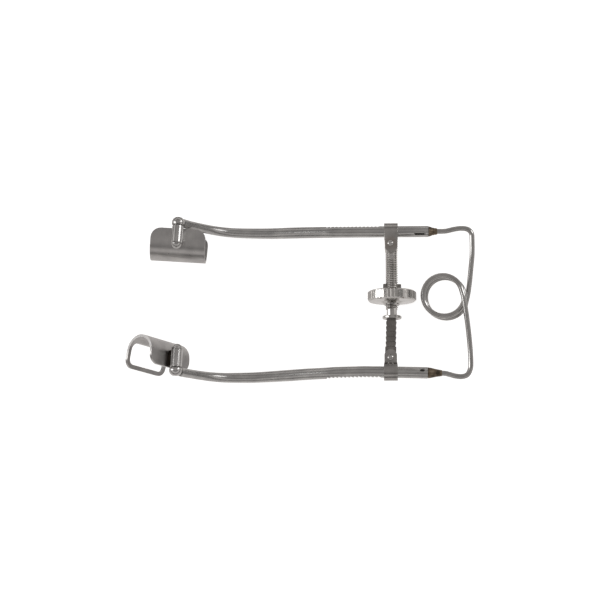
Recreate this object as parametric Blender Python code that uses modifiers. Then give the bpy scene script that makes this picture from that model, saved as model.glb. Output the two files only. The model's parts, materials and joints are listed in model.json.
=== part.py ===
"""Cheek retractor: two sprung arms, a screw spreader and two hinged hook blades.

Sizes are in millimetres in a working frame: X runs along the arms toward the coil
spring, Y across the arms and Z up from the plane of the arms. SHIFT then moves the
object so that its box stands centred on the table.
"""
import math

import bmesh
import bpy
from mathutils import Matrix, Quaternion, Vector

MM = 0.001
SHIFT = Vector((-0.25, 0.16, 7.42))
X_AXIS = Vector((1.0, 0.0, 0.0))
Y_AXIS = Vector((0.0, 1.0, 0.0))
Z_AXIS = Vector((0.0, 0.0, 1.0))

# Arms: a nearly straight toothed run of (x, y) points, then a sag and a rise to the tip.
ARM_R = 1.75
ARM_TIP_R = 1.36
TAPER_FROM_X = -3.0
TAPER_LENGTH = 30.0
UPPER_RUN = ((38.9, 20.95), (27.5, 21.00), (19.0, 21.02), (10.0, 21.04))
LOWER_RUN = ((38.2, -22.50), (33.0, -22.35), (27.1, -22.20), (19.0, -22.07), (10.0, -22.26))
BEND_X = (7.66, 2.10, -3.50, -9.12, -14.72, -20.26, -23.87, -27.34, -30.64, -33.86)
BEND_Z = (-0.55, -2.20, -3.80, -5.05, -5.80, -5.60, -4.70, -2.60, 0.75, 4.40)
UPPER_BEND_Y = (21.11, 21.42, 21.67, 21.82, 22.05, 22.21, 22.36, 22.50, 22.61, 22.76)
LOWER_BEND_Y = (-22.36, -22.43, -22.59, -22.77, -22.96, -23.03, -23.09, -23.05, -22.95, -22.76)
UPPER_PIN = Vector((-36.90, 23.05, 8.20))
LOWER_PIN = Vector((-37.22, -22.46, 8.20))
TOOTH_FROM_X = 8.7
TOOTH_PITCH = 1.19
TOOTH_COUNT = 13
TOOTH_CREST = 0.08
TOOTH_ROOT = 0.5
BORE_R = 0.86
BORE_DEPTH = 5.5

# Coil spring: two turns and two legs of one wire.
WIRE_R = 0.79
COIL_R = 6.07
COIL_TURNS = 2
COIL_STEPS = 18
COIL_REAR = Vector((44.26, 0.36, -2.10))
COIL_FRONT = Vector((42.75, 1.00, 2.10))

# Straps and rivets.
SPINDLE_X = 27.6
UPPER_PIVOT = Vector((27.3, 16.98, 0.0))
LOWER_PIVOT = Vector((27.05, -17.90, 0.0))
BAR_SLANT = math.radians(1.7)
STRAP_HALF_W = 2.08
STRAP_T = 0.8
STRAP_GAP = 0.08
UPPER_TONGUE_Y = 14.2
UPPER_TONGUE_R = 1.95
LOWER_TONGUE_Y = -15.4
LOWER_TONGUE_R = 1.9
RIVET_R = 0.65
RIVET_HOLE_R = 0.68
RIVET_HEAD_R = 0.95
RIVET_HEAD_H = 0.45

# Split screw with its stop collar.
THREAD_R = 2.0
THREAD_ROOT_R = 1.58
THREAD_PITCH = 0.7
THREAD_TOP_Y = 18.3
THREAD_END_Y = -3.16
FLAT_FROM_Y = 12.3
NECK_R = 1.625
PRONG_END_Y = -5.98
HEAD_TOP_Y = 18.95
HEAD_HALF_T = 1.7
SLOT_HALF_T = 0.65
SLOT_TOP_Y = 14.5
COLLAR_TOP_Y = -5.05
COLLAR_END_Y = -6.05
COLLAR_R = 2.9

# Notched bar with a T head.
BAR_HALF_T = 0.6
BAR_HALF_W = 1.4
BAR_TOP_Y = 4.7
BAR_HEAD_HALF_W = 2.75
BAR_HEAD_FOOT_Y = 3.06
NOTCH_TOP_Y = -6.83
NOTCH_PITCH = 1.54
NOTCH_COUNT = 5
NOTCH_WIDE = 1.6
NOTCH_NARROW = 1.42
NOTCH_FACE_DEPTH = 0.12
EYE_R = 1.68

# Knurled nut and thrust ring.
NUT_TOP_Y = 2.5
NUT_FOOT_Y = -0.66
NUT_R = 7.42
NUT_HUB_R = 2.4
NUT_HUB_END_Y = -1.8
NUT_BORE_R = 2.03
FLUTE_COUNT = 40
FLUTE_R = 0.42
FLUTE_DEPTH = 0.28
RING_BORE_R = 2.05
RING_R = 2.75
RING_FOOT_Y = 2.54
RING_TOP_Y = 2.94

# Hinge pins and barrels: distances run along the pin from the arm's tip to the blade.
UPPER_LEAN = math.radians(3.5)
LOWER_LEAN = math.radians(2.5)
PIN_TILT = math.radians(-5.2)
UPPER_SWIVEL = math.radians(2.0)
LOWER_SWIVEL = math.radians(54.7)
PIN_R = 1.0
PIN_BALL_R = 2.0
PIN_BALL_LOW = -1.45
PIN_BALL_HIGH = 1.15
PIN_HEAD_R = 1.72
PIN_HEAD_FROM = 6.80
PIN_HEAD_TO = 8.40
SEAT_R = 2.1
BARREL_R = 1.76
BARREL_BORE_R = 1.04
BARREL_FROM = 1.28
BARREL_TO = 6.66

# Hook blades.
BLADE_HALF_W = 8.4
BLADE_T = 0.8
BLADE_FRONT = 2.4
BLADE_EDGE = 1.32
BLADE_BEND = 5.23
BEND_R = 4.75
BEND_ANGLE = math.radians(172.0)
LIP_LENGTH = 5.17
BLADE_CORNER_R = 3.1
LIP_CORNER_R = 2.8
WINDOW_HALF_W = 7.28
WINDOW_FROM = 1.98
WINDOW_TO = 8.45
WINDOW_CORNER_R = 1.6


def clear_scene():
    for ob in list(bpy.data.objects):
        bpy.data.objects.remove(ob, do_unlink=True)


def make_collection(name):
    group = bpy.data.collections.new(name)
    bpy.context.scene.collection.children.link(group)
    return group


def make_steel(name, color, roughness):
    mat = bpy.data.materials.new(name)
    mat.use_nodes = True
    shader = mat.node_tree.nodes["Principled BSDF"]
    shader.inputs["Base Color"].default_value = (color[0], color[1], color[2], 1.0)
    shader.inputs["Metallic"].default_value = 1.0
    shader.inputs["Roughness"].default_value = roughness
    return mat


def place(ob, point, axis=None):
    """Stand the object at a working-frame point, with its Z along the axis."""
    ob.location = (Vector(point) + SHIFT) * MM
    if axis is not None:
        ob.rotation_mode = "QUATERNION"
        ob.rotation_quaternion = Vector(axis).to_track_quat("Z", "Y")
    return ob


def smooth_edges(mesh):
    mesh.shade_smooth()
    mesh.set_sharp_from_angle(angle=math.radians(35.0))


def turned(name, profile, point, axis, steps, group, mat, ring=False):
    """A Screw of the profile, whose (radius, height) pairs run down the outside."""
    verts = [(radius * MM, 0.0, height * MM) for radius, height in profile]
    edges = [(i, i + 1) for i in range(len(verts) - 1)]
    if ring:
        edges.append((len(verts) - 1, 0))
    mesh = bpy.data.meshes.new(name)
    mesh.from_pydata(verts, edges, [])
    ob = bpy.data.objects.new(name, mesh)
    group.objects.link(ob)
    mod = ob.modifiers.new("turn", "SCREW")
    mod.axis = "Z"
    mod.angle = 2.0 * math.pi
    mod.steps = steps
    mod.render_steps = steps
    mod.use_merge_vertices = True
    mod.merge_threshold = 0.00001
    mod.use_smooth_shade = True
    mesh.materials.append(mat)
    return place(ob, point, axis)


def tube_mesh(name, points, radii, depth, resolution, origin, group, mat):
    """A bevelled POLY curve turned into a closed mesh."""
    curve = bpy.data.curves.new(name + "_curve", "CURVE")
    curve.dimensions = "3D"
    curve.bevel_depth = depth * MM
    curve.bevel_resolution = resolution
    curve.use_fill_caps = True
    curve.twist_mode = "Z_UP"
    spline = curve.splines.new("POLY")
    spline.points.add(len(points) - 1)
    for slot, point, radius in zip(spline.points, points, radii):
        local = (Vector(point) - origin) * MM
        slot.co = (local.x, local.y, local.z, 1.0)
        slot.radius = radius / depth
    return curve_to_mesh(name, curve, origin, None, group, mat)


def curve_to_mesh(name, curve, point, rotation, group, mat):
    """The evaluated curve as a mesh object with its caps welded."""
    guide = bpy.data.objects.new(name + "_guide", curve)
    group.objects.link(guide)
    bpy.context.view_layer.update()
    evaluated = guide.evaluated_get(bpy.context.evaluated_depsgraph_get())
    mesh = bpy.data.meshes.new_from_object(evaluated)
    mesh.name = name
    bm = bmesh.new()
    bm.from_mesh(mesh)
    bmesh.ops.remove_doubles(bm, verts=bm.verts, dist=0.000001)
    bmesh.ops.recalc_face_normals(bm, faces=bm.faces)
    bm.to_mesh(mesh)
    bm.free()
    bpy.data.objects.remove(guide, do_unlink=True)
    bpy.data.curves.remove(curve)
    ob = bpy.data.objects.new(name, mesh)
    group.objects.link(ob)
    if mat is not None:
        mesh.materials.clear()
        mesh.materials.append(mat)
        smooth_edges(mesh)
    place(ob, point)
    if rotation is not None:
        ob.rotation_mode = "QUATERNION"
        ob.rotation_quaternion = rotation
    return ob


def flat_plate(name, outline, half_t, point, rotation, group, mat):
    """A filled 2D outline, extruded to both sides."""
    curve = bpy.data.curves.new(name + "_outline", "CURVE")
    curve.dimensions = "2D"
    curve.fill_mode = "BOTH"
    curve.extrude = half_t * MM
    spline = curve.splines.new("POLY")
    spline.points.add(len(outline) - 1)
    for slot, (x, y) in zip(spline.points, outline):
        slot.co = (x * MM, y * MM, 0.0, 1.0)
    spline.use_cyclic_u = True
    return curve_to_mesh(name, curve, point, rotation, group, mat)


def sheet(name, rows, origin, group, mat, thickness):
    """An open surface of two-point rows with a Solidify."""
    bm = bmesh.new()
    pairs = []
    for left, right in rows:
        pairs.append((bm.verts.new((left - origin) * MM), bm.verts.new((right - origin) * MM)))
    for (a, b), (c, d) in zip(pairs, pairs[1:]):
        bm.faces.new((a, b, d, c))
    mesh = bpy.data.meshes.new(name)
    bm.to_mesh(mesh)
    bm.free()
    mesh.materials.append(mat)
    ob = bpy.data.objects.new(name, mesh)
    group.objects.link(ob)
    mod = ob.modifiers.new("sheet", "SOLIDIFY")
    mod.thickness = thickness * MM
    mod.offset = 0.0
    mod.use_even_offset = True
    return place(ob, origin)


def rod_cutter(name, point, axis, half_length, radius, group, steps=24):
    """A plain rod, centred on the point."""
    bm = bmesh.new()
    bmesh.ops.create_cone(bm, cap_ends=True, segments=steps, radius1=radius * MM, radius2=radius * MM,
                          depth=2.0 * half_length * MM)
    return cutter_from(name, bm, point, axis, group)


def box_cutter(name, point, half_size, group):
    bm = bmesh.new()
    bmesh.ops.create_cube(bm, size=2.0)
    bmesh.ops.scale(bm, vec=Vector(half_size) * MM, verts=bm.verts)
    return cutter_from(name, bm, point, None, group)


def cutter_from(name, bm, point, axis, group):
    mesh = bpy.data.meshes.new(name)
    bm.to_mesh(mesh)
    bm.free()
    ob = bpy.data.objects.new(name, mesh)
    group.objects.link(ob)
    place(ob, point, axis)
    return hide_cutter(ob)


def hide_cutter(ob):
    ob.display_type = "WIRE"
    ob.hide_render = True
    return ob


def cut(ob, cutter):
    mod = ob.modifiers.new(cutter.name, "BOOLEAN")
    mod.operation = "DIFFERENCE"
    mod.solver = "EXACT"
    mod.object = cutter
    return ob


def smooth_line(points, steps):
    """A Catmull-Rom line through the points."""
    pts = [Vector(p) for p in points]
    pts = [pts[0] * 2.0 - pts[1]] + pts + [pts[-1] * 2.0 - pts[-2]]
    line = []
    for i in range(1, len(pts) - 2):
        p0 = pts[i - 1]
        p1 = pts[i]
        p2 = pts[i + 1]
        p3 = pts[i + 2]
        for k in range(steps):
            t = k / steps
            linear = p1 * 2.0 + (p2 - p0) * t
            square = (p0 * 2.0 - p1 * 5.0 + p2 * 4.0 - p3) * t * t
            cube = (p1 * 3.0 - p0 - p2 * 3.0 + p3) * t * t * t
            line.append((linear + square + cube) * 0.5)
    line.append(pts[-2])
    return line


def arm_radius(x):
    part = min(max((TAPER_FROM_X - x) / TAPER_LENGTH, 0.0), 1.0)
    return ARM_R + (ARM_TIP_R - ARM_R) * part


def run_y(run, x):
    """The arm's Y at an X of its toothed run."""
    for (x1, y1), (x0, y0) in zip(run, run[1:]):
        if x >= x0:
            return y0 + (y1 - y0) * (x - x0) / (x1 - x0)
    return run[-1][1]


def run_end(run, distance):
    """A point on the run's end axis, beyond the arm's end by the distance."""
    end = Vector((run[0][0], run[0][1], 0.0))
    inner = Vector((run[1][0], run[1][1], 0.0))
    return end + (end - inner).normalized() * distance


def end_axis(run):
    return run_end(run, 1.0) - run_end(run, 0.0)


def tooth_outline(outward, run):
    """The saw-toothed edge, closed well outside the arm."""
    root = outward * (ARM_R - TOOTH_ROOT)
    crest = outward * (ARM_R - TOOTH_CREST)
    far = outward * (ARM_R + 2.0)
    start = TOOTH_FROM_X - TOOTH_PITCH * 0.86
    outline = [(start, run_y(run, start) + far)]
    for k in range(TOOTH_COUNT):
        x = TOOTH_FROM_X + TOOTH_PITCH * k
        outline.append((x - TOOTH_PITCH * 0.78, run_y(run, x) + root))
        outline.append((x, run_y(run, x) + crest))
    last = TOOTH_FROM_X + TOOTH_PITCH * (TOOTH_COUNT - 1)
    outline.append((last + TOOTH_PITCH * 0.25, run_y(run, last) + root))
    outline.append((last + TOOTH_PITCH * 1.1, run_y(run, last) + outward * (ARM_R + 0.05)))
    outline.append((last + TOOTH_PITCH * 1.2, run_y(run, last) + far))
    return outline


def make_arm(name, outward, run, bend_y, hinge, mat, group, cutters):
    """The rod from its spring end to its tip, with bore, teeth and pin seat cut."""
    pin, axis = hinge[0], hinge[1]
    straight = [Vector((x, y, 0.0)) for x, y in run]
    bend = [(x, y, z) for x, y, z in zip(BEND_X, bend_y, BEND_Z)]
    points = straight[:-1] + smooth_line([straight[-1]] + bend + [pin], 3)
    radii = [arm_radius(p.x) for p in points]
    arm = tube_mesh(name, points, radii, ARM_R, 6, straight[0], group, mat)
    bore = rod_cutter(name + "_bore", straight[0], end_axis(run), BORE_DEPTH, BORE_R, cutters, 16)
    cut(arm, bore)
    whole = run + ((BEND_X[0], bend_y[0]), )
    teeth = flat_plate(name + "_teeth", tooth_outline(outward, whole), 3.0, (0.0, 0.0, 0.0), None, cutters, None)
    cut(arm, hide_cutter(teeth))
    cut(arm, rod_cutter(name + "_seat", pin, axis, 4.0, SEAT_R, cutters, 32))
    return arm


def cut_window(arm, name, centre, half_length, half_width, direction, cutters):
    """An oval window through the tube's wall into its bore."""
    outline = []
    for k in range(16):
        a = 2.0 * math.pi * (k + 0.5) / 16
        straight = math.copysign(half_length - half_width, math.cos(a))
        outline.append((straight + half_width * math.cos(a), half_width * math.sin(a)))
    across = direction.cross(X_AXIS)
    turn = Matrix((X_AXIS, across, direction)).transposed().to_quaternion()
    window = flat_plate(name, outline, 1.2, centre + direction * 1.5, turn, cutters, None)
    return cut(arm, hide_cutter(window))


def spring_line():
    """Upper leg, the coil from its rear turn to its front turn, lower leg."""
    upper = [run_end(UPPER_RUN, -BORE_DEPTH + 0.9)]
    upper += smooth_line((run_end(UPPER_RUN, 2.75), (44.2, 21.05, -0.20), (46.9, 21.70, -0.55),
                          (49.1, 21.98, -0.85), (51.0, 21.68, -1.10), (52.08, 20.50, -1.30),
                          (52.25, 18.5, -1.45), (52.2, 13.8, -1.75), (51.7, 9.0, -1.95),
                          (51.25, 5.0, -2.08), (50.72, 1.6, -2.16)), 3)
    coil = []
    total = COIL_TURNS * COIL_STEPS
    for k in range(1, total - 1):
        part = k / total
        turn = -2.0 * math.pi * COIL_TURNS * part
        centre = COIL_REAR.lerp(COIL_FRONT, part)
        coil.append(centre + Vector((math.cos(turn), math.sin(turn), 0.0)) * COIL_R)
    lower = smooth_line(((49.15, 0.8, 2.1), (49.66, -2.6, 1.95), (50.17, -6.5, 1.7), (50.62, -10.5, 1.3),
                         (51.0, -15.0, 0.9), (51.17, -19.2, 0.6), (51.0, -21.4, 0.45),
                         (50.1, -23.15, 0.3), (48.4, -23.72, 0.2), (46.4, -23.50, 0.1),
                         (44.6, -23.0, 0.0), run_end(LOWER_RUN, 4.35)), 3)
    lower.append(run_end(LOWER_RUN, -BORE_DEPTH + 0.9))
    return upper + coil + lower


def make_spring(mat, group):
    line = spring_line()
    origin = Vector((43.9, 0.0, 0.0))
    return tube_mesh("coil_spring", line, [WIRE_R] * len(line), WIRE_R, 3, origin, group, mat)


def make_braze(name, run, profile, mat, group):
    """A turned cone of filler round the wire, (radius, distance) from its outer end inward."""
    inner_r = WIRE_R + 0.03
    loop = list(profile) + [(inner_r, profile[-1][1]), (inner_r, profile[0][1])]
    return turned(name, loop, run_end(run, 0.0), end_axis(run), 20, group, mat, ring=True)


def tongue_rows(arm_y, tongue_y, end_r, tongue_gap, pinch_from, pinch_to):
    """From the round end toward the arm: distance below the arm, half-width, half-gap."""
    end = abs(arm_y - tongue_y)
    arm_gap = ARM_R + STRAP_GAP + STRAP_T / 2.0
    rows = []
    for k in range(8):
        a = math.radians(80.0 * (7 - k) / 7.0)
        rows.append((end - end_r * (1.0 - math.sin(a)), end_r * math.cos(a), tongue_gap))
    rows.append((pinch_to, end_r, tongue_gap))
    for k in range(1, 5):
        ease = k * k * (12.0 - 2.0 * k) / 64.0
        dist = pinch_to + (pinch_from - pinch_to) * k / 4.0
        width = end_r + (STRAP_HALF_W - end_r) * ease
        rows.append((dist, width, tongue_gap + (arm_gap - tongue_gap) * ease))
    return rows


def make_strap(name, outward, arm, tongue_y, end_r, tongue_gap, pinch, pivot, mat, group, cutters):
    """A U band: up one tongue, round the arm and down the other tongue."""
    arm_x, arm_y = arm
    arm_gap = ARM_R + STRAP_GAP + STRAP_T / 2.0
    tongue = tongue_rows(arm_y, tongue_y, end_r, tongue_gap, pinch[0], pinch[1])
    line = [(-dist, width, -gap) for dist, width, gap in tongue]
    for k in range(13):
        a = math.pi * k / 12.0
        line.append((arm_gap * math.sin(a), STRAP_HALF_W, -arm_gap * math.cos(a)))
    line += [(-dist, width, gap) for dist, width, gap in reversed(tongue)]
    rows = []
    for out, width, z in line:
        centre = Vector((arm_x, arm_y + outward * out, z))
        rows.append((centre - X_AXIS * width * outward, centre + X_AXIS * width * outward))
    strap = sheet(name, rows, Vector((arm_x, arm_y, 0.0)), group, mat, STRAP_T)
    return cut(strap, rod_cutter(name + "_hole", pivot, Z_AXIS, 6.0, RIVET_HOLE_R, cutters))


def make_rivet(name, pivot, half_stack, mat, group):
    """A rivet with a domed head on both faces of the strap."""
    foot = half_stack + 0.03
    dome = []
    for k in range(5):
        a = math.radians(90.0 * k / 4.0)
        dome.append((RIVET_HEAD_R * math.sin(a), foot + RIVET_HEAD_H * math.cos(a)))
    profile = dome + [(RIVET_R, foot)]
    profile += [(radius, -height) for radius, height in reversed(profile)]
    return turned(name, profile, pivot, Z_AXIS, 14, group, mat)


def thread_radius(y, turn):
    phase = (y / THREAD_PITCH + turn) % 1.0
    rise = 1.0 - abs(2.0 * phase - 1.0)
    part = min(max((rise - 0.15) / 0.5, 0.0), 1.0)
    return THREAD_ROOT_R + (THREAD_R - THREAD_ROOT_R) * part


def screw_sections():
    """Height and radius function of each section from the prong ends to the head."""
    sections = [(PRONG_END_Y, NECK_R - 0.12), (PRONG_END_Y + 0.12, NECK_R), (THREAD_END_Y, NECK_R)]
    step = THREAD_PITCH / 3.0
    count = int((THREAD_TOP_Y - THREAD_END_Y) / step)
    for k in range(1, count):
        sections.append((THREAD_END_Y + step * k, None))
    sections.append((THREAD_TOP_Y, NECK_R + 0.15))
    sections.append((HEAD_TOP_Y - 0.2, NECK_R + 0.15))
    sections.append((HEAD_TOP_Y, NECK_R - 0.1))
    return sections


def threaded_rod(name, origin, group, mat, sides):
    """A thread has no two sections alike, so the rod is lofted from section to section."""
    bm = bmesh.new()
    rings = []
    for y, plain in screw_sections():
        ring = []
        for k in range(sides):
            a = 2.0 * math.pi * k / sides
            radius = thread_radius(y, k / sides) if plain is None else plain
            ring.append(bm.verts.new(Vector((radius * math.cos(a), y - origin.y, radius * math.sin(a))) * MM))
        rings.append(ring)
    for low, high in zip(rings, rings[1:]):
        for k in range(sides):
            n = (k + 1) % sides
            bm.faces.new((low[k], high[k], high[n], low[n]))
    bm.faces.new(rings[0])
    bm.faces.new(list(reversed(rings[-1])))
    bmesh.ops.recalc_face_normals(bm, faces=bm.faces)
    mesh = bpy.data.meshes.new(name)
    bm.to_mesh(mesh)
    bm.free()
    mesh.materials.append(mat)
    ob = bpy.data.objects.new(name, mesh)
    group.objects.link(ob)
    return place(ob, origin)


def make_screw(mat, group, cutters):
    screw = threaded_rod("split_screw", Vector((SPINDLE_X, UPPER_PIVOT.y, 0.0)), group, mat, 16)
    slot_from = PRONG_END_Y - 1.0
    slot_mid = (SPINDLE_X, (slot_from + SLOT_TOP_Y) / 2.0, 0.0)
    slot = box_cutter("screw_slot", slot_mid, (3.0, (SLOT_TOP_Y - slot_from) / 2.0, SLOT_HALF_T), cutters)
    cut(screw, slot)
    flat_half_y = (HEAD_TOP_Y + 1.0 - FLAT_FROM_Y) / 2.0
    for label, side in (("front", 1.0), ("rear", -1.0)):
        flat_mid = (SPINDLE_X, FLAT_FROM_Y + flat_half_y, side * (HEAD_HALF_T + 1.0))
        cut(screw, box_cutter("screw_flat_" + label, flat_mid, (3.0, flat_half_y, 1.0), cutters))
    return cut(screw, rod_cutter("screw_hole", UPPER_PIVOT, Z_AXIS, 4.0, RIVET_HOLE_R, cutters))


def make_collar(mat, group, cutters):
    """The ring pressed on the prongs, with a slot for the bar."""
    bore = NECK_R + 0.03
    height = COLLAR_TOP_Y - COLLAR_END_Y
    profile = ((bore, height), (COLLAR_R - 0.25, height), (COLLAR_R, height - 0.2), (COLLAR_R, 0.2),
               (COLLAR_R - 0.25, 0.0), (bore, 0.0))
    collar = turned("stop_collar", profile, (SPINDLE_X, COLLAR_END_Y, 0.0), Y_AXIS, 32, group, mat, ring=True)
    slot_mid = (SPINDLE_X, (COLLAR_TOP_Y + COLLAR_END_Y) / 2.0, 0.0)
    return cut(collar, box_cutter("collar_slot", slot_mid, (NOTCH_WIDE + 0.25, 2.0, BAR_HALF_T + 0.08), cutters))


def bar_outline():
    """Half of the bar's outline from the T head down to the eye, then its mirror."""
    half = [(BAR_HEAD_HALF_W - 0.15, BAR_TOP_Y), (BAR_HEAD_HALF_W, BAR_TOP_Y - 0.15),
            (BAR_HEAD_HALF_W, BAR_HEAD_FOOT_Y), (BAR_HALF_W, BAR_HEAD_FOOT_Y - 0.05),
            (BAR_HALF_W, NOTCH_TOP_Y + 0.05)]
    for k in range(NOTCH_COUNT):
        top = NOTCH_TOP_Y - NOTCH_PITCH * k
        half.append((NOTCH_WIDE, top))
        half.append((NOTCH_WIDE, top - 0.3))
        half.append((NOTCH_NARROW, top - NOTCH_PITCH + 0.2))
        half.append((NOTCH_NARROW, top - NOTCH_PITCH + 0.05))
    half.append((EYE_R, NOTCH_TOP_Y - NOTCH_PITCH * NOTCH_COUNT))
    for k in range(6):
        a = math.radians(90.0 * k / 6.0)
        half.append((EYE_R * math.cos(a), LOWER_PIVOT.y - EYE_R * math.sin(a)))
    mirrored = [(-x, y) for x, y in reversed(half)]
    bottom = [(0.0, LOWER_PIVOT.y - EYE_R)]
    return [(x, y - LOWER_PIVOT.y) for x, y in half + bottom + mirrored]


def make_bar(mat, group, cutters):
    slant = Quaternion(Z_AXIS, -BAR_SLANT)
    bar = flat_plate("notched_bar", bar_outline(), BAR_HALF_T, LOWER_PIVOT, slant, group, mat)
    cut(bar, rod_cutter("bar_hole", LOWER_PIVOT, Z_AXIS, 3.0, RIVET_HOLE_R, cutters))
    for label, side in (("front", 1.0), ("rear", -1.0)):
        for k in range(NOTCH_COUNT):
            foot = NOTCH_TOP_Y - NOTCH_PITCH * (k + 1) + 0.12
            local = Vector((0.0, foot - LOWER_PIVOT.y, side * (BAR_HALF_T + 0.3 - NOTCH_FACE_DEPTH)))
            name = "groove_" + label + "_" + str(k + 1)
            cut(bar, rod_cutter(name, LOWER_PIVOT + slant @ local, slant @ X_AXIS, 3.0, 0.3, cutters, 8))
    return bar


def make_nut(mat, group, cutters):
    """A turned disc and hub, with the flutes cut round its rim."""
    profile = ((NUT_BORE_R, NUT_TOP_Y), (NUT_R - 0.55, NUT_TOP_Y), (NUT_R, NUT_TOP_Y - 0.45),
               (NUT_R, NUT_FOOT_Y + 0.45), (NUT_R - 0.55, NUT_FOOT_Y), (5.0, NUT_FOOT_Y),
               (3.3, -0.85), (NUT_HUB_R + 0.1, -1.35), (NUT_HUB_R, NUT_HUB_END_Y + 0.1),
               (NUT_HUB_R - 0.1, NUT_HUB_END_Y), (NUT_BORE_R, NUT_HUB_END_Y))
    nut = turned("knurled_nut", profile, (SPINDLE_X, 0.0, 0.0), Y_AXIS, FLUTE_COUNT, group, mat, ring=True)
    bm = bmesh.new()
    reach = NUT_R - FLUTE_DEPTH + FLUTE_R
    for k in range(FLUTE_COUNT):
        a = 2.0 * math.pi * (k + 0.5) / FLUTE_COUNT
        shift = Matrix.Translation(Vector((reach * math.cos(a), reach * math.sin(a), 0.92)) * MM)
        spin = Matrix.Rotation(a, 4, "Z")
        bmesh.ops.create_cone(bm, cap_ends=True, segments=6, radius1=FLUTE_R * MM, radius2=FLUTE_R * MM,
                              depth=6.0 * MM, matrix=shift @ spin)
    return cut(nut, cutter_from("nut_flutes", bm, (SPINDLE_X, 0.0, 0.0), Y_AXIS, cutters))


def make_thrust_ring(mat, group):
    profile = ((RING_BORE_R, RING_TOP_Y), (RING_R, RING_TOP_Y), (RING_R, RING_FOOT_Y), (RING_BORE_R, RING_FOOT_Y))
    return turned("thrust_ring", profile, (SPINDLE_X, 0.0, 0.0), Y_AXIS, 32, group, mat, ring=True)


def hinge_frame(pin, lean, outward, swivel):
    """The pin's point, its axis toward the blade, the blade's front normal and its width."""
    tilt = Quaternion(X_AXIS, PIN_TILT)
    upright = tilt @ Vector((math.sin(lean), math.cos(lean), 0.0))
    axis = upright * -outward
    front = Quaternion(upright, swivel) @ (tilt @ Z_AXIS)
    return pin, axis, front, axis.cross(front)


def make_pin(name, hinge, mat, group):
    """A button against the arm's seat, the shank, and a domed head beyond the barrel."""
    down = ((0.0, PIN_HEAD_TO), (0.65, PIN_HEAD_TO - 0.12), (1.25, PIN_HEAD_TO - 0.5),
            (PIN_HEAD_R - 0.1, PIN_HEAD_TO - 1.05), (PIN_HEAD_R, PIN_HEAD_FROM + 0.15),
            (PIN_HEAD_R - 0.1, PIN_HEAD_FROM), (PIN_R, PIN_HEAD_FROM), (PIN_R, PIN_BALL_HIGH),
            (PIN_BALL_R - 0.5, PIN_BALL_HIGH), (PIN_BALL_R - 0.12, 0.85), (PIN_BALL_R, 0.4),
            (PIN_BALL_R - 0.05, -0.2), (PIN_BALL_R - 0.35, -0.85), (1.1, PIN_BALL_LOW + 0.14),
            (0.0, PIN_BALL_LOW))
    return turned(name, down, hinge[0], hinge[1], 20, group, mat)


def make_barrel(name, hinge, mat, group):
    loop = ((BARREL_BORE_R, BARREL_TO), (BARREL_R - 0.12, BARREL_TO), (BARREL_R, BARREL_TO - 0.12),
            (BARREL_R, BARREL_FROM + 0.12), (BARREL_R - 0.12, BARREL_FROM), (BARREL_BORE_R, BARREL_FROM))
    return turned(name, loop, hinge[0], hinge[1], 24, group, mat, ring=True)


def make_barrel_braze(name, hinge, mat, group):
    """The filler bead in the wedge between the barrel and the plate."""
    point, axis, front, width = hinge
    over_r = BARREL_R + 0.03
    floor = -BLADE_FRONT + 0.03
    outline = [(-1.1, floor), (1.1, floor)]
    for k in range(7):
        w = 1.1 - 2.2 * k / 6.0
        outline.append((w, -math.sqrt(over_r * over_r - w * w)))
    low = BLADE_EDGE + 0.25
    high = BARREL_TO - 0.3
    turn = Matrix((width, front, width.cross(front))).transposed().to_quaternion()
    return flat_plate(name, outline, (high - low) / 2.0, point + axis * (low + high) / 2.0, turn, group, mat)


def blade_line():
    """Along the sheet's middle: distance along the pin, depth behind it, half-width."""
    back = BLADE_FRONT + BLADE_T / 2.0
    line = []
    for k in range(8):
        a = math.radians(90.0 * k / 7.0)
        line.append((BLADE_EDGE + BLADE_CORNER_R * (1.0 - math.cos(a)), back,
                     BLADE_HALF_W - BLADE_CORNER_R * (1.0 - math.sin(a))))
    for k in range(13):
        a = BEND_ANGLE * k / 12.0
        line.append((BLADE_BEND + BEND_R * math.sin(a), back + BEND_R * (1.0 - math.cos(a)), BLADE_HALF_W))
    along, depth, width = line[-1]
    for k in range(7):
        a = math.radians(90.0 * k / 6.0)
        run = LIP_LENGTH - LIP_CORNER_R * (1.0 - math.sin(a))
        line.append((along + math.cos(BEND_ANGLE) * run, depth + math.sin(BEND_ANGLE) * run,
                     BLADE_HALF_W - LIP_CORNER_R * (1.0 - math.cos(a))))
    return line


def rounded_rectangle(half_w, low, high, radius):
    outline = []
    mid = (low + high) / 2.0
    half_h = (high - low) / 2.0
    for side_x, side_y, start in ((1, 1, 0), (-1, 1, 90), (-1, -1, 180), (1, -1, 270)):
        for k in range(5):
            a = math.radians(start + 90.0 * k / 4.0)
            x = side_x * (half_w - radius) + radius * math.cos(a)
            y = mid + side_y * (half_h - radius) + radius * math.sin(a)
            outline.append((x, y))
    return outline


def make_blade(name, hinge, mat, group, cutters):
    """A plate bent over into a hook, with a window in its lip."""
    point, axis, front, width = hinge
    rows = []
    for along, depth, half in blade_line():
        centre = point + axis * along - front * depth
        rows.append((centre - width * half, centre + width * half))
    blade = sheet(name, rows, point, group, mat, BLADE_T)
    outline = rounded_rectangle(WINDOW_HALF_W, WINDOW_FROM, WINDOW_TO, WINDOW_CORNER_R)
    turn = Matrix((width, axis, width.cross(axis))).transposed().to_quaternion()
    middle = point - front * (BLADE_FRONT + BEND_R + 5.0)
    window = flat_plate(name + "_window", outline, 5.0, middle, turn, cutters, None)
    return cut(blade, hide_cutter(window))


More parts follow.
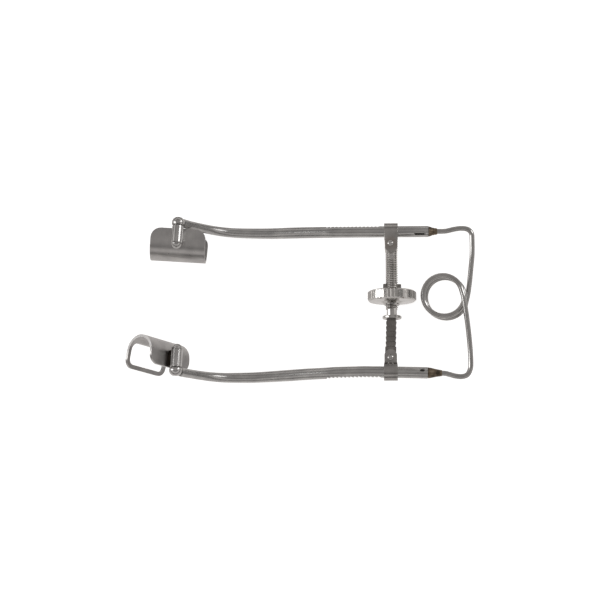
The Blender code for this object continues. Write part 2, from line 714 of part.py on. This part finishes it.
def build_arms(parts, cutters, upper_hinge, lower_hinge):
    steel = make_steel("arm_steel", (0.56, 0.55, 0.54), 0.22)
    wire = make_steel("spring_steel", (0.55, 0.53, 0.51), 0.2)
    filler = make_steel("braze_filler", (0.50, 0.42, 0.33), 0.4)
    upper = make_arm("upper_arm", 1.0, UPPER_RUN, UPPER_BEND_Y, upper_hinge, steel, parts, cutters)
    lower = make_arm("lower_arm", -1.0, LOWER_RUN, LOWER_BEND_Y, lower_hinge, steel, parts, cutters)
    facing = Vector((0.0, -0.5, 0.866)).normalized()
    cut_window(upper, "upper_window", run_end(UPPER_RUN, -2.6), 1.75, 0.62, facing, cutters)
    facing = Vector((0.0, 0.3, 0.954)).normalized()
    cut_window(lower, "lower_window", run_end(LOWER_RUN, -1.6), 0.75, 0.55, facing, cutters)
    make_spring(wire, parts)
    upper_cone = ((0.92, 2.70), (1.06, 2.20), (1.03, 1.90), (1.18, 1.60), (1.14, 1.40), (1.42, 0.70),
                  (1.60, 0.13), (1.48, 0.03))
    make_braze("upper_braze_joint", UPPER_RUN, upper_cone, filler, parts)
    lower_cone = ((0.91, 4.30), (1.00, 3.80), (1.18, 2.60), (1.52, 1.10), (1.68, 0.15), (1.56, 0.03))
    make_braze("lower_braze_joint", LOWER_RUN, lower_cone, filler, parts)


def build_spreader(parts, cutters):
    strap = make_steel("strap_steel", (0.57, 0.55, 0.53), 0.3)
    rivet = make_steel("rivet_steel", (0.62, 0.60, 0.58), 0.22)
    upper_gap = ARM_R + STRAP_GAP + STRAP_T / 2.0
    lower_gap = BAR_HALF_T + 0.03 + STRAP_T / 2.0
    make_strap("upper_strap", 1.0, UPPER_RUN[1], UPPER_TONGUE_Y, UPPER_TONGUE_R, upper_gap, (1.7, 2.7),
               UPPER_PIVOT, strap, parts, cutters)
    make_strap("lower_strap", -1.0, LOWER_RUN[2], LOWER_TONGUE_Y, LOWER_TONGUE_R, lower_gap, (1.5, 2.85),
               LOWER_PIVOT, strap, parts, cutters)
    make_rivet("upper_rivet", UPPER_PIVOT, upper_gap + STRAP_T / 2.0, rivet, parts)
    make_rivet("lower_rivet", LOWER_PIVOT, lower_gap + STRAP_T / 2.0, rivet, parts)
    make_screw(make_steel("screw_steel", (0.58, 0.54, 0.51), 0.3), parts, cutters)
    make_collar(make_steel("collar_steel", (0.66, 0.64, 0.62), 0.2), parts, cutters)
    make_bar(make_steel("bar_steel", (0.33, 0.32, 0.31), 0.45), parts, cutters)
    make_nut(make_steel("nut_steel", (0.58, 0.55, 0.53), 0.28), parts, cutters)
    make_thrust_ring(make_steel("ring_steel", (0.45, 0.43, 0.42), 0.35), parts)


def build_blades(parts, cutters, upper_hinge, lower_hinge):
    plate = make_steel("blade_steel", (0.54, 0.53, 0.53), 0.3)
    barrel = make_steel("barrel_steel", (0.62, 0.61, 0.60), 0.25)
    pin = make_steel("pin_steel", (0.60, 0.59, 0.58), 0.2)
    filler = make_steel("barrel_filler", (0.48, 0.42, 0.36), 0.4)
    for side, hinge in (("upper", upper_hinge), ("lower", lower_hinge)):
        make_pin(side + "_hinge_pin", hinge, pin, parts)
        make_barrel(side + "_barrel", hinge, barrel, parts)
        make_barrel_braze(side + "_barrel_braze", hinge, filler, parts)
        make_blade(side + "_blade", hinge, plate, parts, cutters)


def build():
    clear_scene()
    parts = make_collection("cheek_retractor")
    cutters = make_collection("cutters")
    upper_hinge = hinge_frame(UPPER_PIN, UPPER_LEAN, 1.0, UPPER_SWIVEL)
    lower_hinge = hinge_frame(LOWER_PIN, LOWER_LEAN, -1.0, LOWER_SWIVEL)
    build_arms(parts, cutters, upper_hinge, lower_hinge)
    build_spreader(parts, cutters)
    build_blades(parts, cutters, upper_hinge, lower_hinge)


build()
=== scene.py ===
"""Looks of the cheek retractor: polished stainless pieces on a pale table under a soft light tent."""

import json
import math

import bmesh
import bpy
from mathutils import Matrix, Vector


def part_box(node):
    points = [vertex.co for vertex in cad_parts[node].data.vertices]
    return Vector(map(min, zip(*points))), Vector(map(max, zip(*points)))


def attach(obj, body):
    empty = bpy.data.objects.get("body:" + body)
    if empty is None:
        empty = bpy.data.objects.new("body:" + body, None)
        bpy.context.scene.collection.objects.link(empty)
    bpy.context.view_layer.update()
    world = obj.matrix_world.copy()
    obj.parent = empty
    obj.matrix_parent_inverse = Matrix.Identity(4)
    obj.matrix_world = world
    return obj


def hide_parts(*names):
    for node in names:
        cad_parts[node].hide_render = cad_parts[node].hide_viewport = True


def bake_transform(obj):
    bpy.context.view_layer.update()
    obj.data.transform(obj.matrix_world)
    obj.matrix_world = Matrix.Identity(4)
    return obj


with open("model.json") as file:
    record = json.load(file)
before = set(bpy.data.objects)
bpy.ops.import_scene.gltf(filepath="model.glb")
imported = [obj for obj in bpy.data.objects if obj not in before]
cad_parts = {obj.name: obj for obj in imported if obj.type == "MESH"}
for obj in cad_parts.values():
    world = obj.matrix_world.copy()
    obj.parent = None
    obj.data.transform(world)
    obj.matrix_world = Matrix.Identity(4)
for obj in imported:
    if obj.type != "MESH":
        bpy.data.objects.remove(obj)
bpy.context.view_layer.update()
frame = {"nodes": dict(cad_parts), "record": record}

MM = 0.001
# Where part.py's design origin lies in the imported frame, in mm. The spring and camera are placed from it.
ORIGIN = Vector((-0.25, 0.16, 7.42))

# The spring wire, in mm from ORIGIN: two legs that repeat part.py's points, and the coil between them.
WIRE_R = 0.79
COIL_R = 6.07
COIL_REAR = Vector((44.26, 0.36, -2.10))
COIL_FRONT = Vector((42.75, 1.00, 2.10))
COIL_STEPS = 36
COIL_TURNS = 2
LEG_STEPS = 8
UPPER_LEG = ((34.3, 20.96, 0.0), (41.6, 20.94, 0.0), (44.2, 21.05, -0.20), (46.9, 21.70, -0.55),
             (49.1, 21.98, -0.85), (51.0, 21.68, -1.10), (52.08, 20.50, -1.30), (52.25, 18.5, -1.45),
             (52.2, 13.8, -1.75), (51.7, 9.0, -1.95), (51.25, 5.0, -2.08), (50.72, 1.6, -2.16))
LOWER_LEG = ((49.15, 0.8, 2.1), (49.66, -2.6, 1.95), (50.17, -6.5, 1.7), (50.62, -10.5, 1.3),
             (51.0, -15.0, 0.9), (51.17, -19.2, 0.6), (51.0, -21.4, 0.45), (50.1, -23.15, 0.3),
             (48.4, -23.72, 0.2), (46.4, -23.50, 0.1), (44.6, -23.0, 0.0), (42.5, -22.63, 0.0),
             (33.6, -22.37, 0.0))

# Skins: vertices closer than WELD join, and edges sharper than these angles (degrees) stay sharp.
WELD = 0.000001
SHARP_FROM = {"split_screw": 12.0, "knurled_nut": 20.0, "notched_bar": 15.0}
SHARP_ELSEWHERE = 32.0
SOFT_EDGES = ("upper_strap", "lower_strap", "upper_blade", "lower_blade", "stop_collar")
BROKEN_EDGE = 0.00007
BROKEN_ABOVE = 45.0
BODIES = {node: body for body, nodes in frame["record"]["behaviour"]["bodies"].items() for node in nodes}

# Finishes: lengths in metres, tones linear.
EVEN = (1.0, 1.0, 1.0)
# Painted highlight: the pale tone mixed into sharp edges, and the radius within which an edge is found.
EDGE_HIGHLIGHT_TONE = (0.86, 0.85, 0.83)
EDGE_HIGHLIGHT_RADIUS = 0.00014
BRUSH_DEPTH = 0.000004
LUMP_DEPTH = 0.00012
FILLER_TONES = ((0.34, (0.07, 0.055, 0.04)), (0.55, (0.22, 0.17, 0.12)), (0.75, (0.40, 0.33, 0.26)))
# Painted shade: the barrel brazes take the filler tones at this fraction, near black, for the shadow in the
# gap between barrel and plate.
BARREL_BRAZE_SHADE = 0.25
STAIN_TONE = (0.30, 0.20, 0.12)
STAIN_INNER = 0.0022
STAIN_OUTER = 0.0038
STAIN_STRENGTH = 0.35

TABLE_HALF = 2.0
TABLE_GLOW = 0.72
# The light tent: its up direction, then its brightness from straight below (0) to straight above (1).
TENT_UP = (0.04, 0.20, 0.979)
TENT_STOPS = ((0.0, 0.85), (0.40, 0.72), (0.47, 0.10), (0.54, 0.14), (0.64, 0.80), (0.76, 0.75),
              (0.87, 0.20), (0.93, 0.34), (0.98, 0.46))
TENT_TINT = (1.0, 0.96, 0.94)
TENT_STRENGTH = 0.85
LIGHT_AIM = Vector((0.0, 0.0, 0.005))

# The camera: what it looks at in mm from ORIGIN, its sideways lean, and its distance in metres.
CAMERA_AIM = Vector((-0.38, 0.07, 0.0))
CAMERA_LEAN = (0.052, -0.158)
CAMERA_DISTANCE = 0.5083
LENS = 100.0
SENSOR = 36.0


class Nodes:
    """A material's node tree with short calls for the nodes used here."""

    def __init__(self, name):
        self.mat = bpy.data.materials.new(name)
        self.mat.use_nodes = True
        self.tree = self.mat.node_tree
        self.shader = self.tree.nodes["Principled BSDF"]
        self.coords = self.add("ShaderNodeTexCoord").outputs["Object"]

    def add(self, kind, **values):
        node = self.tree.nodes.new(kind)
        for key, value in values.items():
            setattr(node, key, value)
        return node

    def link(self, a, b):
        self.tree.links.new(a, b)

    def noise(self, scale, stretch, detail, roughness):
        """Noise in object space, stretched by the factors on each axis."""
        mapping = self.add("ShaderNodeMapping")
        mapping.inputs["Scale"].default_value = stretch
        self.link(self.coords, mapping.inputs["Vector"])
        noise = self.add("ShaderNodeTexNoise")
        noise.inputs["Scale"].default_value = scale
        noise.inputs["Detail"].default_value = detail
        noise.inputs["Roughness"].default_value = roughness
        self.link(mapping.outputs["Vector"], noise.inputs["Vector"])
        return noise.outputs["Fac"]

    def ramp(self, value, stops):
        ramp = self.add("ShaderNodeValToRGB")
        elements = ramp.color_ramp.elements
        while len(elements) < len(stops):
            elements.new(0.5)
        for element, (at, colour) in zip(elements, stops):
            element.position = at
            element.color = tuple(colour) + (1.0,)
        self.link(value, ramp.inputs["Fac"])
        return ramp.outputs["Color"]

    def span(self, value, low, high, to_low, to_high):
        """The value's range from low to high, stretched to the range from to_low to to_high."""
        node = self.add("ShaderNodeMapRange")
        node.inputs["From Min"].default_value = low
        node.inputs["From Max"].default_value = high
        node.inputs["To Min"].default_value = to_low
        node.inputs["To Max"].default_value = to_high
        self.link(value, node.inputs["Value"])
        return node.outputs["Result"]

    def mix(self, factor, a, b):
        """Colour a turning into colour b, each a socket or a plain colour."""
        node = self.add("ShaderNodeMix", data_type="RGBA")
        self.link(factor, node.inputs["Factor"])
        for value, slot in ((a, node.inputs[6]), (b, node.inputs[7])):
            if isinstance(value, tuple):
                slot.default_value = value + (1.0,)
            else:
                self.link(value, slot)
        return node.outputs[2]

    def flatness(self):
        """Near 1 on a flat face, and lower where an edge turns within a fraction of a millimetre."""
        rounded = self.add("ShaderNodeBevel", samples=6)
        rounded.inputs["Radius"].default_value = EDGE_HIGHLIGHT_RADIUS
        true = self.add("ShaderNodeNewGeometry")
        dot = self.add("ShaderNodeVectorMath", operation="DOT_PRODUCT")
        self.link(rounded.outputs["Normal"], dot.inputs[0])
        self.link(true.outputs["Normal"], dot.inputs[1])
        return dot.outputs["Value"]

    def bump(self, height, strength, distance):
        node = self.add("ShaderNodeBump")
        node.inputs["Strength"].default_value = strength
        node.inputs["Distance"].default_value = distance
        self.link(height, node.inputs["Height"])
        self.link(node.outputs["Normal"], self.shader.inputs["Normal"])


def steel(name, dark, light, brush, roughness, scratch=0.03):
    """Stainless steel: mottled tone, brush lines along one axis, and a painted highlight that lightens the
    sharp edges.
    """
    n = Nodes(name)
    n.shader.inputs["Metallic"].default_value = 1.0
    mottle = n.noise(260.0, EVEN, 3.0, 0.5)
    lines = n.noise(1400.0, brush, 3.0, 0.6)
    tone = n.ramp(mottle, ((0.30, dark), (0.70, light)))
    streaks = n.span(lines, 0.35, 0.65, 0.0, 0.18)
    tone = n.mix(streaks, tone, tuple(c * 0.8 for c in dark))
    # Painted highlight: sharp edges are lightened toward the pale edge tone.
    edge_highlight = n.span(n.flatness(), 0.95, 0.75, 0.0, 0.55)
    tone = n.mix(edge_highlight, tone, EDGE_HIGHLIGHT_TONE)
    n.link(tone, n.shader.inputs["Base Color"])
    rough = n.span(lines, 0.30, 0.70, roughness * 0.9, roughness * 1.15)
    n.link(rough, n.shader.inputs["Roughness"])
    n.bump(lines, scratch, BRUSH_DEPTH)
    return n


def strap_steel(name, rivet):
    """Polished strap steel with a brown heat stain round the rivet."""
    n = steel(name, (0.34, 0.33, 0.32), (0.50, 0.485, 0.47), (0.2, 1.0, 1.0), 0.2)
    colour = n.shader.inputs["Base Color"]
    clean = colour.links[0].from_socket
    gap = n.add("ShaderNodeVectorMath", operation="DISTANCE")
    gap.inputs[1].default_value = rivet
    n.link(n.coords, gap.inputs[0])
    near = n.span(gap.outputs["Value"], STAIN_INNER, STAIN_OUTER, STAIN_STRENGTH, 0.0)
    n.link(n.mix(near, clean, STAIN_TONE), colour)
    return n


def braze(name, level):
    """Dull brown filler with a lumpy skin and darker flux stains, its tones scaled by level; a low level
    paints shade.
    """
    n = Nodes(name)
    n.shader.inputs["Metallic"].default_value = 0.75
    lumps = n.noise(900.0, EVEN, 5.0, 0.6)
    stain = n.noise(420.0, EVEN, 4.0, 0.5)
    tone = n.ramp(stain, [(at, tuple(c * level for c in tint)) for at, tint in FILLER_TONES])
    n.link(tone, n.shader.inputs["Base Color"])
    n.link(n.span(lumps, 0.3, 0.7, 0.28, 0.5), n.shader.inputs["Roughness"])
    n.bump(lumps, 0.35, LUMP_DEPTH)
    return n


def smooth_line(points):
    """A Catmull-Rom line through the points."""
    points = [Vector(p) for p in points]
    line = []
    for k in range(len(points) - 1):
        p0, p1 = points[max(k - 1, 0)], points[k]
        p2, p3 = points[k + 1], points[min(k + 2, len(points) - 1)]
        for i in range(LEG_STEPS):
            t = i / LEG_STEPS
            line.append(0.5 * (2 * p1 + (p2 - p0) * t + (2 * p0 - 5 * p1 + 4 * p2 - p3) * t * t
                               + (3 * p1 - p0 - 3 * p2 + p3) * t ** 3))
    line.append(points[-1])
    return line


def coil_line():
    """The two turns, drifting from the rear plane to the front one."""
    total = COIL_TURNS * COIL_STEPS
    line = []
    for k in range(2, total - 1):
        part = k / total
        turn = -2.0 * math.pi * COIL_TURNS * part
        centre = COIL_REAR.lerp(COIL_FRONT, part)
        line.append(centre + Vector((math.cos(turn), math.sin(turn), 0.0)) * COIL_R)
    return line


def wire_mesh(line):
    """A round wire along the line, given in mm from ORIGIN."""
    curve = bpy.data.curves.new("spring_wire", "CURVE")
    curve.dimensions = "3D"
    curve.bevel_depth = WIRE_R * MM
    curve.bevel_resolution = 7
    curve.use_fill_caps = True
    spline = curve.splines.new("POLY")
    spline.points.add(len(line) - 1)
    for point, place in zip(spline.points, line):
        point.co = tuple((place + ORIGIN) * MM) + (1.0,)
    shape = bpy.data.objects.new("spring_curve", curve)
    bpy.context.scene.collection.objects.link(shape)
    bpy.context.view_layer.update()
    mesh = bpy.data.meshes.new_from_object(shape)
    bpy.data.objects.remove(shape)
    for face in mesh.polygons:
        face.use_smooth = True
    return mesh


def make_spring(finish):
    """The wire: upper leg, coil and lower leg as one fine tube, running between the two arms."""
    mesh = wire_mesh(smooth_line(UPPER_LEG)[:-1] + coil_line() + smooth_line(LOWER_LEG)[1:])
    wire = bpy.data.objects.new("fine_coil_spring", mesh)
    bpy.context.scene.collection.objects.link(wire)
    mesh.materials.clear()
    mesh.materials.append(finish.mat)
    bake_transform(wire)
    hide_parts("coil_spring")


def smooth_skin(name):
    """A welded copy of a node's mesh, smooth but for its sharp edges."""
    mesh = frame["nodes"][name].data.copy()
    skin = bmesh.new()
    skin.from_mesh(mesh)
    bmesh.ops.remove_doubles(skin, verts=skin.verts, dist=WELD)
    skin.to_mesh(mesh)
    skin.free()
    if "custom_normal" in mesh.attributes:
        mesh.attributes.remove(mesh.attributes["custom_normal"])
    for face in mesh.polygons:
        face.use_smooth = True
    mesh.set_sharp_from_angle(angle=math.radians(SHARP_FROM.get(name, SHARP_ELSEWHERE)))
    return mesh


def assign(finish, *names):
    """A smooth-skinned piece in place of each node, with its sharp edges kept or softly broken."""
    for name in names:
        mesh = smooth_skin(name)
        mesh.materials.clear()
        mesh.materials.append(finish.mat)
        piece = bpy.data.objects.new("fine_" + name, mesh)
        bpy.context.scene.collection.objects.link(piece)
        if name in SOFT_EDGES:
            bevel = piece.modifiers.new("broken_edges", "BEVEL")
            bevel.width = BROKEN_EDGE
            bevel.segments = 2
            bevel.limit_method = "ANGLE"
            bevel.angle_limit = math.radians(BROKEN_ABOVE)
        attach(piece, BODIES[name])
        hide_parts(name)


def paint():
    """Every piece with its finish."""
    arm = steel("arm_polish", (0.46, 0.455, 0.45), (0.60, 0.595, 0.58), (0.08, 1.0, 1.0), 0.27)
    assign(arm, "upper_arm", "lower_arm")
    blade = steel("blade_polish", (0.46, 0.45, 0.445), (0.60, 0.59, 0.575), (1.0, 0.35, 1.0), 0.30)
    assign(blade, "upper_blade", "lower_blade")
    pin = steel("pin_polish", (0.50, 0.495, 0.485), (0.64, 0.63, 0.62), (1.0, 0.2, 1.0), 0.22)
    assign(pin, "upper_barrel", "lower_barrel", "upper_hinge_pin", "lower_hinge_pin")
    turned = steel("turned_steel", (0.54, 0.53, 0.51), (0.70, 0.685, 0.67), (0.3, 1.0, 0.3), 0.14, 0.05)
    assign(turned, "split_screw", "stop_collar", "thrust_ring", "knurled_nut")
    bar = steel("bar_steel", (0.20, 0.19, 0.18), (0.32, 0.305, 0.29), (1.0, 0.1, 1.0), 0.26, 0.05)
    assign(bar, "notched_bar")
    low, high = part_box("upper_rivet")
    strap = strap_steel("strap_polish", (low + high) / 2.0)
    assign(strap, "upper_strap", "lower_strap")
    rivet = steel("rivet_polish", (0.55, 0.54, 0.53), (0.70, 0.69, 0.67), EVEN, 0.14)
    assign(rivet, "upper_rivet", "lower_rivet")
    filler = braze("braze_filler", 1.0)
    assign(filler, "upper_braze_joint", "lower_braze_joint")
    # Painted shade: the barrel brazes are darkened almost to black to stand for the shadow beside each
    # barrel.
    shade_painted_braze = braze("braze_painted_shade", BARREL_BRAZE_SHADE)
    assign(shade_painted_braze, "upper_barrel_braze", "lower_barrel_braze")
    wire = steel("drawn_wire", (0.44, 0.435, 0.425), (0.58, 0.57, 0.555), EVEN, 0.16)
    make_spring(wire)


def make_floor():
    """A pale sheet the object lies on."""
    mesh = bpy.data.meshes.new("table")
    corners = [(x * TABLE_HALF, y * TABLE_HALF, 0.0) for x, y in ((-1, -1), (1, -1), (1, 1), (-1, 1))]
    mesh.from_pydata(corners, [], [(0, 1, 2, 3)])
    floor = bpy.data.objects.new("table", mesh)
    bpy.context.scene.collection.objects.link(floor)
    mat = bpy.data.materials.new("pale_table")
    mat.use_nodes = True
    shader = mat.node_tree.nodes["Principled BSDF"]
    shader.inputs["Base Color"].default_value = (0.95, 0.95, 0.95, 1.0)
    shader.inputs["Roughness"].default_value = 0.9
    shader.inputs["Specular IOR Level"].default_value = 0.0
    shader.inputs["Emission Color"].default_value = (1.0, 1.0, 1.0, 1.0)
    shader.inputs["Emission Strength"].default_value = TABLE_GLOW
    mesh.materials.append(mat)
    floor.visible_glossy = False


def make_tent():
    """A world that is bright at the sides, dark at the horizon and dim overhead, like a light tent."""
    world = bpy.data.worlds.new("tent")
    world.use_nodes = True
    tree = world.node_tree
    coords = tree.nodes.new("ShaderNodeTexCoord")
    rise = tree.nodes.new("ShaderNodeVectorMath")
    rise.operation = "DOT_PRODUCT"
    rise.inputs[1].default_value = TENT_UP
    tree.links.new(coords.outputs["Generated"], rise.inputs[0])
    height = tree.nodes.new("ShaderNodeMapRange")
    height.inputs["From Min"].default_value = -1.0
    tree.links.new(rise.outputs["Value"], height.inputs["Value"])
    ramp = tree.nodes.new("ShaderNodeValToRGB")
    elements = ramp.color_ramp.elements
    while len(elements) < len(TENT_STOPS):
        elements.new(0.5)
    for element, (at, value) in zip(elements, TENT_STOPS):
        element.position = at
        element.color = tuple(value * tint for tint in TENT_TINT) + (1.0,)
    tree.links.new(height.outputs["Result"], ramp.inputs["Fac"])
    back = tree.nodes["Background"]
    tree.links.new(ramp.outputs["Color"], back.inputs["Color"])
    back.inputs["Strength"].default_value = TENT_STRENGTH
    bpy.context.scene.world = world


def area_light(name, place, size, power):
    """A rectangular panel aimed at the object."""
    light = bpy.data.lights.new(name, "AREA")
    light.shape = "RECTANGLE"
    light.size, light.size_y = size
    light.energy = power
    ob = bpy.data.objects.new(name, light)
    ob.location = place
    ob.rotation_euler = (LIGHT_AIM - Vector(place)).to_track_quat("-Z", "Y").to_euler()
    bpy.context.scene.collection.objects.link(ob)


def make_camera():
    """Nearly overhead, tipped a little toward the lower arm, as the photograph looks."""
    lean_x, lean_y = CAMERA_LEAN
    back = Vector((lean_x, lean_y, math.sqrt(1.0 - lean_x ** 2 - lean_y ** 2)))
    right = Vector((0.0, 1.0, 0.0)).cross(back).normalized()
    up = back.cross(right)
    data = bpy.data.cameras.new("camera")
    data.lens = LENS
    data.sensor_width = SENSOR
    data.clip_start = 0.01
    camera = bpy.data.objects.new("camera", data)
    camera.location = (ORIGIN + CAMERA_AIM) * MM + back * CAMERA_DISTANCE
    camera.rotation_euler = Matrix((right, up, back)).transposed().to_euler()
    bpy.context.scene.collection.objects.link(camera)
    bpy.context.scene.camera = camera


paint()
make_floor()
make_tent()
area_light("left_panel", (-0.55, 0.05, 0.30), (0.15, 0.5), 0.7)
area_light("right_panel", (0.50, 0.25, 0.35), (0.12, 0.4), 0.5)
make_camera()
bpy.context.scene.view_settings.view_transform = "Standard"
